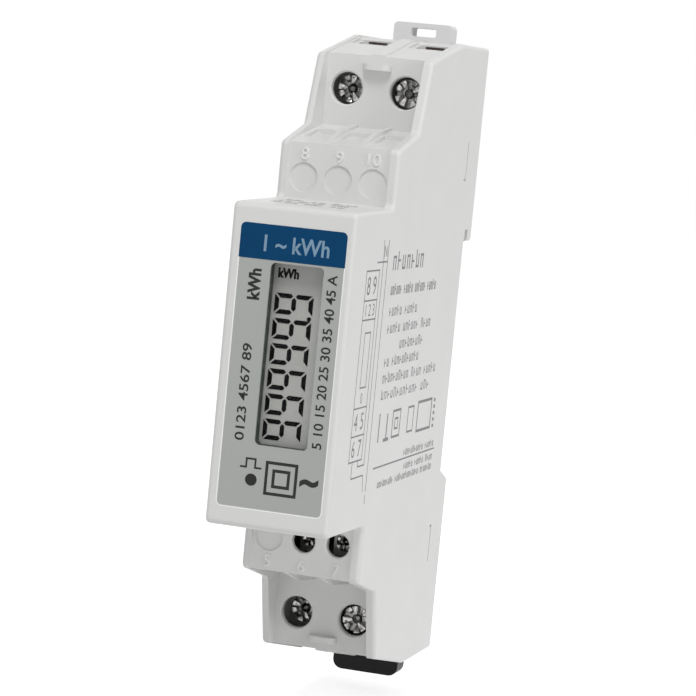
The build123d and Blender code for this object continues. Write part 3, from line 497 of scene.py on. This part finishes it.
class METER_OT_label(bpy.types.Operator):
    """Finish the front label and print it"""

    bl_idname = "meter.label"
    bl_label = "Front label"

    # Painted highlight round the film's edge: how far it stands past the label, the radius of its corners,
    # and its height in layers of ink.
    highlight_past = 0.045 * MM
    highlight_corner = 0.8 * MM
    highlight_layers = 3

    # Words that read upwards: text, X and Z of the middle, height, width, and how much heavier they are.
    columns = (
        ("kWh", -4.87, 11.3, 1.8, 4.3, 0.04),
        ("0123 4567 89", -5.0, -3.6, 1.38, 13.4, 0.014),
        ("5 10 15 20 25 30 35 40 45 A", 6.2, 1.75, 1.38, 23.9, 0.014),
    )

    # Sign of one pulse: X and Z of its corners.
    pulse = (
        (-4.35, -13.85), (-3.6, -13.85), (-3.6, -12.65), (-2.3, -12.65), (-2.3, -13.85), (-1.5, -13.85),
    )

    def execute(self, context):
        look = context.scene.meter_label
        film = finish("label_film", look.film, 0.34, variation=0.02, patch=14.0, grain=0.16, depth=0.003)
        band = finish("band_print", look.band, 0.42, variation=0.05, patch=5.0, grain=0.16, depth=0.002,
                      constants={"Specular IOR Level": 0.08})
        dark = finish("label_ink", look.print_ink, 0.5, variation=0.08, patch=1.0, grain=0.1, depth=0.002,
                      constants={"Specular IOR Level": 0.1})
        pale = finish("band_ink", look.band_ink, 0.4, variation=0.05, patch=1.0, grain=0.1, depth=0.002)
        dress(film, "front_label")
        dress(band, "label_band")

        shape = bmesh.new()
        words_place = plane_at(Vector((0.72 * MM, band_face, 17.05 * MM)), X_AXIS, Z_AXIS)
        add_words(shape, words_place, "1 ~ kWh", 2.3 * MM, 0.9 * look.ink, weight=0.02, width=9.4 * MM)
        add_piece("band_lettering", shape, pale)

        self.paint_edge_highlight(look)
        shape = bmesh.new()
        self.print_words(shape, look.ink)
        self.print_marks(shape, look.ink)
        add_piece("label_print", shape, dark)
        return {"FINISHED"}

    def paint_edge_highlight(self, look):
        """Near-white band round the film's outline, a painted highlight where the label's border catches
        light.
        """
        low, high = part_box("front_label")
        centre = (low + high) / 2
        width, height = high.x - low.x + 2 * self.highlight_past, high.z - low.z + 2 * self.highlight_past
        shape = bmesh.new()
        place = plane_at(Vector((centre.x, label_face, centre.z)), X_AXIS, Z_AXIS)
        add_rounded_field(shape, place, width, height, self.highlight_corner)
        field = list(shape.faces)
        bmesh.ops.inset_region(shape, faces=field, thickness=look.edge_width, use_boundary=True,
                               use_even_offset=True)
        bmesh.ops.delete(shape, geom=field, context="FACES_ONLY")
        raise_faces(shape, Vector((0, -self.highlight_layers * look.ink, 0)), keep_first=True)
        # Painted highlight: the band is near white so the label's border looks lit.
        painted = finish("film_edge", look.edge, 0.5, variation=0.005, patch=3.0, grain=0.3, depth=0.001)
        add_piece("label_edge", shape, painted)

    def print_words(self, shape, ink):
        """Unit and rows of plain numbers that read upwards."""
        for words, x, z, height, width, weight in self.columns:
            place = plane_at(Vector((x * MM, label_face, z * MM)), Z_AXIS, -X_AXIS)
            add_words(shape, place, words, height * MM, ink, weight=weight, width=width * MM)

    def print_marks(self, shape, ink):
        """Sign of one pulse, and plain signs beside the lamp."""
        place = plane_at(Vector((0, label_face, 0)), X_AXIS, Z_AXIS)
        add_line(shape, place, [(x * MM, z * MM) for x, z in self.pulse], 0.26 * MM, ink)
        for size in (4.7, 2.6):
            add_frame(shape, place, 1.55 * MM, -15.0 * MM, size * MM, size * MM, 0.42 * MM, ink)
        wave = plane_at(Vector((5.6 * MM, label_face, -15.0 * MM)), X_AXIS, Z_AXIS)
        add_words(shape, wave, "~", 1.3 * MM, ink, weight=0.04, width=2.7 * MM)


class METER_OT_display(bpy.types.Operator):
    """Finish the display, its pane and the pulse lamp"""

    bl_idname = "meter.display"
    bl_label = "Display"

    # Dark liner of painted shade on the opening's wall: its play against the parts round it, and the radius
    # of its corners.
    liner_play = 0.02 * MM
    liner_corner = 0.7 * MM

    def execute(self, context):
        look = context.scene.meter_display
        cell = finish("display_cell", look.cell, 0.28, variation=0.02, patch=10.0, grain=0.3, depth=0.001)
        dress(cell, "display_glass")
        ink = finish("display_ink", look.segments, 0.5, variation=0.1, patch=0.8, grain=0.2, depth=0.001,
                     constants={"Specular IOR Level": 0.05})
        dress(ink, "display_segments")
        pane = finish("clear_pane", tone(70, 74, 74), 0.06, variation=0.01, patch=8.0, grain=2.0, depth=0.002,
                      constants={"Alpha": look.pane_cover, "IOR": 1.58})
        dress(pane, "display_window")
        pipe = finish("smoked_light_pipe", tone(30, 30, 29), 0.3, variation=0.06, patch=0.6, grain=0.2,
                      depth=0.001, constants={"Specular IOR Level": 0.25})
        dress(pipe, "lamp_window")
        self.rim(look)
        shape = bmesh.new()
        place = plane_at(Vector((-0.85 * MM, cell_face, 13.1 * MM)), X_AXIS, Z_AXIS)
        add_words(shape, place, "kWh", 1.4 * MM, 0.05 * MM, weight=0.045, width=3.0 * MM)
        add_piece("display_unit", shape, ink)
        return {"FINISHED"}

    def rim(self, look):
        """Dark liner on the wall of the opening, round the pane: painted shade where that wall is in shadow.
        """
        gap = self.liner_play
        width = pane_high.x - pane_low.x - 2 * PANE_FLANGE + 2 * gap
        height = pane_high.z - pane_low.z - 2 * PANE_FLANGE + 2 * gap
        centre = (pane_low + pane_high) / 2
        front, back = label_back + gap, label_back + NOSE_WALL
        shape = bmesh.new()
        place = plane_at(Vector((centre.x, back, centre.z)), X_AXIS, Z_AXIS)
        add_rounded_field(shape, place, width, height, self.liner_corner)
        raise_faces(shape, Vector((0, front - back, 0)))
        flat = [f for f in shape.faces if abs(f.normal.y) > 0.9]
        bmesh.ops.delete(shape, geom=flat, context="FACES_ONLY")
        bmesh.ops.recalc_face_normals(shape, faces=shape.faces)
        bmesh.ops.solidify(shape, geom=list(shape.faces), thickness=-look.shade_liner_wall)
        # Painted shade: the liner is dark so the opening's wall reads as shadowed.
        dark = finish("opening_rim", look.rim, 0.5, variation=0.06, patch=1.0, grain=0.15, depth=0.003)
        add_piece("window_rim", shape, dark)


class METER_OT_side_print(bpy.types.Operator):
    """Print the diagram and rows of plain marks on the flat side, and rows on top of the nose"""

    bl_idname = "meter.side_print"
    bl_label = "Side print"

    # Rows of marks: Y where they start and end, Z, height, the groups, and the width of a stroke.
    rows = (
        (-40.2, -23.0, 15.4, 2.7, (7,), 0.42),
        (-39.8, -14.8, 11.3, 1.6, (6, 5, 6, 5), 0.28),
        (-39.6, -24.3, 8.2, 1.5, (5, 5), 0.28),
        (-39.7, -15.8, 5.7, 1.5, (5, 6, 4), 0.28),
        (-32.4, -19.3, 3.2, 1.5, (9,), 0.28),
        (-39.6, -20.9, 0.9, 1.5, (2, 11), 0.28),
        (-39.7, -10.2, -1.5, 1.5, (10, 4, 5), 0.28),
        (-39.7, -13.2, -3.9, 1.5, (12, 3), 0.28),
        (-24.2, -6.9, -13.5, 1.1, (11, 5), 0.24),
        (-23.3, -7.0, -15.6, 1.1, (5, 5, 4), 0.24),
        (-37.0, -7.0, -17.1, 1.1, (9, 14, 7), 0.24),
    )

    # Rows on top of the nose: X where they start and end, Y of the middle, height, groups and stroke.
    nose_rows = (
        (-5.9, 4.7, -45.6, 2.4, (3, 2, 4), 0.24),
        (-5.9, 4.7, -49.0, 2.4, (2, 4, 3), 0.24),
        (-5.9, 4.7, -52.4, 2.4, (4, 3, 2), 0.24),
    )

    # Framed signs under the side's rows: Y of the middle, width, height, and weight of their lines.
    signs_z = -8.7
    framed = ((-29.8, 4.4, 4.2, 1.6), (-29.8, 1.9, 1.8, 1.4), (-14.2, 8.2, 4.8, 1.9), (-22.0, 3.4, 4.0, 1.4))

    # Bars beside and under them: Y and Z of the middle, width and height.
    bars = (
        (-38.9, -8.7, 0.5, 4.2), (-34.8, -8.7, 0.5, 3.6), (-34.8, -10.7, 2.8, 0.5),
        *[(-8.6, -6.8 - step, 0.9, 0.5) for step in range(5)], (-23.1, -14.5, 33.8, 0.24),
    )

    def execute(self, context):
        look = context.scene.meter_side_print
        ink = finish("side_ink", look.ink, 0.5, variation=0.05, patch=1.0, grain=0.1, depth=0.002)
        place = plane_at(Vector((side_face, 0, 0)), Y_AXIS, Z_AXIS)
        shape = bmesh.new()
        self.diagram(shape, place, look)
        add_piece("side_diagram", shape, ink)
        shape = bmesh.new()
        for row in self.rows:
            self.row(shape, place, row, look)
        self.signs(shape, place, look)
        add_piece("side_rows", shape, ink)
        shape = bmesh.new()
        upwards = Vector((0, 1, NOSE_SLOPE)).normalized()
        place = plane_at(Vector((0, 0, NOSE_FRONT_Z - NOSE_SLOPE * cad_low.y)), X_AXIS, upwards)
        for row in self.nose_rows:
            self.row(shape, place, row, look)
        add_piece("nose_rows", shape, ink)
        return {"FINISHED"}

    def row(self, shape, place, row, look):
        """Prints a row whose sizes are in millimetres."""
        *sizes, groups, stroke = row
        add_marks(shape, place, [*(v * MM for v in sizes), groups], stroke * MM, look.height)

    def signs(self, shape, place, look):
        """Nested squares, plain framed fields, bars and a rule under the rows."""
        for y, width, height, weight in self.framed:
            add_frame(shape, place, y * MM, self.signs_z * MM, width * MM, height * MM, weight * look.stroke,
                      look.height)
        for bar in self.bars:
            add_bar(shape, place, *(v * MM for v in bar), look.height)

    def diagram(self, shape, place, look):
        """Wiring diagram: boxes for the meter's terminals with the lines that join them."""
        depth, stroke = look.height, look.stroke
        left, right = -52.8, -46.5
        edges = (14.3, 10.15, 7.45, -4.95, -8.9, -12.5)
        lines = [
            [(left, edges[0]), (right, edges[0])],
            [(left, edges[0]), (left, edges[-1])],
            [(right, edges[0]), (right, edges[-1])],
            *[[(left, z), (right, z)] for z in edges[1:]],
            [(-50.8, 5.6), (-48.0, 5.6), (-48.0, -2.1), (-50.8, -2.1), (-50.8, 5.6)],
            [(-47.9, 15.4), (-42.9, 15.4)],
            [(-45.0, 15.4), (-45.0, -13.4), (-48.3, -13.4), (-48.3, -12.5)],
            [(-45.3, 18.4), (-44.9, 15.4)],
            [(-42.9, 18.4), (-42.9, -17.4)],
            [(-51.0, -12.5), (-51.0, -14.9), (-45.1, -14.9), (-44.5, -17.3)],
            [(-42.9, -18.0), (-42.9, -19.2)],
        ]
        for points in lines:
            add_line(shape, place, [(y * MM, z * MM) for y, z in points], stroke, depth)
        fields = (
            (-51.2, 12.2, 2.6, "8"), (-48.3, 12.2, 2.6, "9"), (-51.6, 8.8, 1.7, "1"), (-49.7, 8.8, 1.7, "2"),
            (-47.8, 8.8, 1.7, "3"), (-49.6, -3.6, 1.5, "0"), (-51.2, -6.9, 2.4, "4"), (-48.2, -6.9, 2.4, "5"),
            (-51.2, -10.7, 2.4, "6"), (-48.2, -10.7, 2.4, "7"), (-44.1, 16.9, 1.6, "N"),
        )
        for y, z, height, words in fields:
            spot = place @ Matrix.Translation((y * MM, z * MM, 0))
            add_words(shape, spot, words, height * MM, depth, weight=0.0)


class METER_OT_screws(bpy.types.Operator):
    """Model the six terminal screws with threads and recessed heads"""

    bl_idname = "meter.screws"
    bl_label = "Terminal screws"

    # Head height, shank radius, pin radius, pin length and thread pitch in millimetres.
    kinds = {
        "terminal": (2.0, 1.75, 1.0, 0.985, 0.7),
        "pulse": (1.3, 1.1, 0.65, 0.73, 0.45),
    }

    # Screw node, body, and the turn of its recess in degrees.
    screws = (
        ("terminal_screw_1", "screw_1", 58), ("terminal_screw_2", "screw_2", 68),
        ("terminal_screw_3", "screw_3", 84), ("terminal_screw_4", "screw_4", 14),
        ("pulse_screw_6", "screw_6", 48), ("pulse_screw_7", "screw_7", 20),
    )

    # Raised parts of a head, two in each quarter: their sweep, the mark between the two and the slot after
    # them in degrees, and how far each one's inner edge is let down, as a share of its height.
    sweep, mark, slot = 29, 5, 27
    let_down = (0.1, 0.7, 0.5, 0.2, 0.8, 0.1, 0.3, 0.6)

    # How far each of them reaches towards the middle: the radius of its inner edge, as a share of the head's.
    reach = (0.34, 0.5, 0.3, 0.56, 0.42, 0.26, 0.52, 0.36)

    # Shares of the head's radius: where the raised parts end, the head's own bevel, and theirs.
    rim_share, bevel_share, sector_bevel = 0.93, 0.1, 0.04

    # Depth of the thread, and where one turn of it leaves its root, reaches and leaves its crest and is
    # back at the root, as shares of the pitch.
    thread_depth = 0.55
    thread = (0.15, 0.45, 0.6, 0.9)

    # How much painted shade darkens the middle of the recess at each point of the head's profile, from the
    # middle outwards.
    recess = (0.7, 0.7, 0.6, 0.65, 0.65)

    def execute(self, context):
        look = context.scene.meter_screws
        steel = screw_finish("bright_steel", look.steel, look.recess)
        for node, body, turn in self.screws:
            low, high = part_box(node)
            kind = [v * MM for v in self.kinds[node.split("_")[0]]]
            centre = (low + high) / 2
            shape = bmesh.new()
            self.body(shape, (high.x - low.x) / 2, high.y - low.y, kind, look)
            self.sectors(shape, (high.x - low.x) / 2, look.ledge * kind[0])
            outward = plane_at(Vector((centre.x, low.y, centre.z)), X_AXIS, Z_AXIS)
            spun = outward @ Matrix.Rotation(math.radians(turn), 4, "Z")
            bmesh.ops.transform(shape, matrix=spun, verts=shape.verts)
            piece = add_piece(node.replace("screw", "threaded_screw"), shape, steel, body, smooth=True)
            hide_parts(node)
        return {"FINISHED"}

    def body(self, shape, radius, length, kind, look):
        """Head without its raised parts, threaded shank and pin, spun about Z with the head's top at zero."""
        head, shank, pin, pin_length, pitch = kind
        floor, ledge = look.well_depth * head, look.ledge * head
        well, rim = look.well * radius, self.bevel_share * radius
        root = shank - self.thread_depth * pitch
        profile = [
            (0, -floor - 0.4 * well), (0.7 * well, -floor), (well, -ledge - rim), (well + 0.5 * rim, -ledge),
            (self.rim_share * radius, -ledge), (radius, -ledge - rim), (radius, -head + rim),
            (radius - rim, -head), (root, -head),
        ]
        turns = int((length - head - pin_length) / pitch)
        for index in range(turns):
            top = -head - index * pitch
            profile += [(r, top - share * pitch) for r, share in zip((root, shank, shank, root), self.thread)]
        shoulder = -length + pin_length
        profile += [(root, shoulder + 0.3 * (root - pin)), (pin, shoulder), (pin, -length + 0.2 * pin),
                    (0.8 * pin, -length), (0, -length)]
        # Painted shade: each profile point carries how far its steel is darkened in the recess.
        depth = shape.verts.layers.float.new("recess")
        points = [shape.verts.new((r, 0, z)) for r, z in profile]
        for point, share in zip(points, self.recess):
            point[depth] = share
        outline = [shape.edges.new(pair) for pair in zip(points, points[1:])]
        bmesh.ops.spin(shape, geom=points + outline, cent=(0, 0, 0), axis=(0, 0, 1), angle=2 * math.pi,
                       steps=look.steps, use_merge=True)
        bmesh.ops.remove_doubles(shape, verts=shape.verts, dist=1e-7)

    def sectors(self, shape, radius, height):
        """Raised parts of the head's rim, parted by the slots."""
        outer = self.rim_share * radius
        angle = 0.0
        for index, (let_down, reach) in enumerate(zip(self.let_down, self.reach)):
            inner = reach * radius
            piece = bmesh.new()
            a, b = piece.verts.new((inner, 0, -height)), piece.verts.new((outer, 0, -height))
            edge = piece.edges.new((a, b))
            bmesh.ops.spin(piece, geom=[a, b, edge], cent=(0, 0, 0), axis=(0, 0, 1),
                           angle=math.radians(self.sweep), steps=4)
            lifted = raise_faces(piece, (0, 0, height))
            nearest = [v for v in lifted if v.co.xy.length < (inner + outer) / 2]
            bmesh.ops.translate(piece, verts=nearest, vec=(0, 0, -let_down * height))
            bmesh.ops.recalc_face_normals(piece, faces=piece.faces)
            rims = [e for e in piece.edges if e.calc_face_angle(0) > math.radians(35)]
            bmesh.ops.bevel(piece, geom=rims, offset=self.sector_bevel * radius, segments=2, profile=0.5,
                            affect="EDGES", material=-1)
            bmesh.ops.rotate(piece, verts=piece.verts, cent=(0, 0, 0),
                             matrix=Matrix.Rotation(math.radians(angle), 3, "Z"))
            built = bpy.data.meshes.new("sector")
            piece.to_mesh(built)
            piece.free()
            shape.from_mesh(built)
            bpy.data.meshes.remove(built)
            angle += self.sweep + (self.slot if index % 2 else self.mark)


class METER_OT_inside(bpy.types.Operator):
    """Finish the boards, their parts, the bars and the clamps"""

    bl_idname = "meter.inside"
    bl_label = "Inside"

    def execute(self, context):
        dress(board_finish("solder_mask"), "display_board", "main_board")
        dress(finish("moulded_package", tone(30), 0.45, variation=0.15, patch=1.0, grain=0.12, depth=0.006),
              "display_driver", "metering_chip", "optocoupler", "rectifier", "board_header")
        dress(finish("frame_plastic", tone(218, 218, 214), 0.5, variation=0.01, patch=5.0), "display_frame")
        dress(finish("lamp_lens", tone(224, 70, 52), 0.25, variation=0.05, patch=0.8, depth=0.001),
              "pulse_lamp")
        dress(striped_finish("contact_rubber"), "contact_strips")
        dress(finish("film_capacitor_box", tone(224, 190, 66), 0.4, variation=0.03, patch=4.0),
              "dropper_capacitor")
        dress(finish("shrunk_sleeve", tone(28, 36, 66), 0.22, variation=0.05, patch=4.0),
              "smoothing_capacitor")
        dress(finish("dipped_coat", tone(44, 92, 168), 0.42, variation=0.05, patch=2.0, grain=0.7,
                     depth=0.03), "varistor")
        dress(finish("cement_coat", tone(150, 168, 150), 0.62, variation=0.06, patch=1.5, grain=0.3,
                     depth=0.02), "power_resistor")
        dress(steel_finish("drawn_can", tone(196, 196, 192), 0.3, stretch=(1, 1, 0.15)), "crystal")
        dress(steel_finish("rolled_copper", tone(168, 108, 78), 0.34, stretch=(1, 1, 0.08)),
              "line_bar_lower", "line_bar_upper", "neutral_bar", "neutral_lead")
        dress(steel_finish("resistance_alloy", tone(150, 128, 108), 0.45, stretch=(1, 1, 0.08)), "shunt")
        dress(steel_finish("tinned_wire", tone(206, 206, 202), 0.3), "sense_leads")
        pressed = [n for n in sorted(nodes) if "frame_" in n or "plate_" in n]
        dress(steel_finish("zinc_plate", tone(168, 168, 164), 0.38, grain=0.3, depth=0.005), *pressed)
        return {"FINISHED"}


class METER_OT_stage(bpy.types.Operator):
    """Set up the camera, the floor and the light"""

    bl_idname = "meter.stage"
    bl_label = "Stage"

    # Point the camera looks at in millimetres, and the lamps: name, setting, place and size in metres.
    aim = (-0.89, -25.0, 0.95)
    lamps = (("key_light", "key", (0.15, -0.7, 1.1), 0.5), ("side_light", "side", (1.1, -0.35, 0.35), 0.45))

    # Floor: its radius in metres, and how strongly it glows where it is seen.
    floor_radius = 4.0
    floor_glow = 0.67

    def execute(self, context):
        look = context.scene.meter_stage
        context.scene.view_settings.view_transform = "Standard"
        self.camera(context, look)
        self.floor(context)
        self.surround(context, look)
        for name, setting, place, size in self.lamps:
            self.lamp(context, name, getattr(look, setting), Vector(place), size)
        return {"FINISHED"}

    def camera(self, context, look):
        """Camera with the photograph's view."""
        aim = Vector(self.aim) * MM
        az, el = look.azimuth, look.elevation
        back = Vector((math.sin(az) * math.cos(el), -math.cos(az) * math.cos(el), math.sin(el)))
        right = Vector((math.cos(az), math.sin(az), 0))
        up = back.cross(right)
        turn = Matrix.Rotation(look.roll, 3, back)
        axes = Matrix((turn @ right, turn @ up, back)).transposed()
        lens = bpy.data.cameras.new("camera")
        lens.lens = look.lens
        lens.sensor_width = 36.0
        lens.clip_start, lens.clip_end = 0.01, 20.0
        camera = bpy.data.objects.new("camera", lens)
        camera.matrix_world = Matrix.Translation(aim + back * look.distance) @ axes.to_4x4()
        context.scene.collection.objects.link(camera)
        context.scene.camera = camera

    def floor(self, context):
        """Plain pale floor under the lowest point that the lower clip reaches."""
        travel = max(j["range_m"][1] for j in frame["joints"] if j["name"] == "lower_clip_pull")
        shape = bmesh.new()
        bmesh.ops.create_circle(shape, cap_ends=True, segments=64, radius=self.floor_radius)
        bmesh.ops.translate(shape, verts=shape.verts, vec=(0, 0, cad_low.z - travel))
        mesh = bpy.data.meshes.new("floor")
        shape.to_mesh(mesh)
        shape.free()
        material = bpy.data.materials.new("floor")
        material.use_nodes = True
        tree = material.node_tree
        shader = tree.nodes["Principled BSDF"]
        shader.inputs["Roughness"].default_value = 0.9
        shader.inputs["Specular IOR Level"].default_value = 0.0
        pale = blend_colours(tree, remap(tree, noise(tree, 0.05), 0.0, 1.0), tone(238), tone(242))
        tree.links.new(pale, shader.inputs["Base Color"])
        seen = self.seen_share(tree)
        glow = tree.nodes.new("ShaderNodeEmission")
        glow.inputs["Strength"].default_value = self.floor_glow
        none = tree.nodes.new("ShaderNodeEmission")
        none.inputs["Strength"].default_value = 0.0
        pick = tree.nodes.new("ShaderNodeMixShader")
        tree.links.new(seen, pick.inputs[0])
        tree.links.new(none.outputs[0], pick.inputs[1])
        tree.links.new(glow.outputs[0], pick.inputs[2])
        total = tree.nodes.new("ShaderNodeAddShader")
        tree.links.new(shader.outputs[0], total.inputs[0])
        tree.links.new(pick.outputs[0], total.inputs[1])
        output = next(n for n in tree.nodes if n.type == "OUTPUT_MATERIAL")
        tree.links.new(total.outputs[0], output.inputs["Surface"])
        mesh.materials.append(material)
        floor = bpy.data.objects.new("floor", mesh)
        context.scene.collection.objects.link(floor)

    def seen_share(self, tree):
        """One where the camera, a reflection or a refraction looks, and nothing for other light."""
        path = tree.nodes.new("ShaderNodeLightPath")
        share = path.outputs["Is Camera Ray"]
        for name in ("Is Glossy Ray", "Is Transmission Ray"):
            most = tree.nodes.new("ShaderNodeMath")
            most.operation = "MAXIMUM"
            tree.links.new(share, most.inputs[0])
            tree.links.new(path.outputs[name], most.inputs[1])
            share = most.outputs[0]
        return share

    def surround(self, context, look):
        """World: white where it is seen, and a plain level of light elsewhere."""
        world = bpy.data.worlds.new("surround")
        world.use_nodes = True
        context.scene.world = world
        tree = world.node_tree
        ambient = tree.nodes["Background"]
        ambient.inputs["Color"].default_value = (1, 1, 1, 1)
        ambient.inputs["Strength"].default_value = look.surround
        white = tree.nodes.new("ShaderNodeBackground")
        white.inputs["Color"].default_value = (1, 1, 1, 1)
        white.inputs["Strength"].default_value = 1.0
        pick = tree.nodes.new("ShaderNodeMixShader")
        tree.links.new(self.seen_share(tree), pick.inputs[0])
        tree.links.new(ambient.outputs[0], pick.inputs[1])
        tree.links.new(white.outputs[0], pick.inputs[2])
        output = next(n for n in tree.nodes if n.type == "OUTPUT_WORLD")
        tree.links.new(pick.outputs[0], output.inputs["Surface"])

    def lamp(self, context, name, power, place, size):
        """Soft square light aimed at the meter."""
        data = bpy.data.lights.new(name, "AREA")
        data.energy = power
        data.size = size
        lamp = bpy.data.objects.new(name, data)
        aim = (cad_low + cad_high) / 2
        turned = (place - aim).to_track_quat("Z", "Y").to_matrix().to_4x4()
        lamp.matrix_world = Matrix.Translation(place) @ turned
        context.scene.collection.objects.link(lamp)


class METER_PT_panel(bpy.types.Panel):
    """Lists the meter's operators and their settings"""

    bl_label = "Energy Meter"
    bl_idname = "METER_PT_panel"
    bl_space_type = "VIEW_3D"
    bl_region_type = "UI"
    bl_category = "Energy Meter"

    def draw(self, context):
        for operator in operators:
            self.layout.operator(operator.bl_idname)
        for name in settings:
            box = self.layout.box()
            group = getattr(context.scene, name)
            for key in group.bl_rna.properties.keys():
                if key not in ("rna_type", "name"):
                    box.prop(group, key)


operators = (
    METER_OT_stage, METER_OT_housing, METER_OT_clips, METER_OT_label, METER_OT_display, METER_OT_side_print,
    METER_OT_screws, METER_OT_inside,
)
settings = {
    "meter_stage": MeterStageSettings,
    "meter_housing": MeterHousingSettings,
    "meter_label": MeterLabelSettings,
    "meter_display": MeterDisplaySettings,
    "meter_side_print": MeterSidePrintSettings,
    "meter_screws": MeterScrewSettings,
}


def register():
    """Adds the settings, the operators and the panel."""
    for name, group in settings.items():
        bpy.utils.register_class(group)
        setattr(bpy.types.Scene, name, PointerProperty(type=group))
    for kind in (*operators, METER_PT_panel):
        bpy.utils.register_class(kind)


def unregister():
    """Takes the panel, the operators and the settings away again."""
    for kind in (METER_PT_panel, *reversed(operators)):
        bpy.utils.unregister_class(kind)
    for name, group in reversed(settings.items()):
        delattr(bpy.types.Scene, name)
        bpy.utils.unregister_class(group)


def main():
    """Builds the whole scene."""
    register()
    bpy.ops.meter.stage()
    bpy.ops.meter.housing()
    bpy.ops.meter.clips()
    bpy.ops.meter.label()
    bpy.ops.meter.display()
    bpy.ops.meter.side_print()
    bpy.ops.meter.screws()
    bpy.ops.meter.inside()


if __name__ == "__main__":
    main()
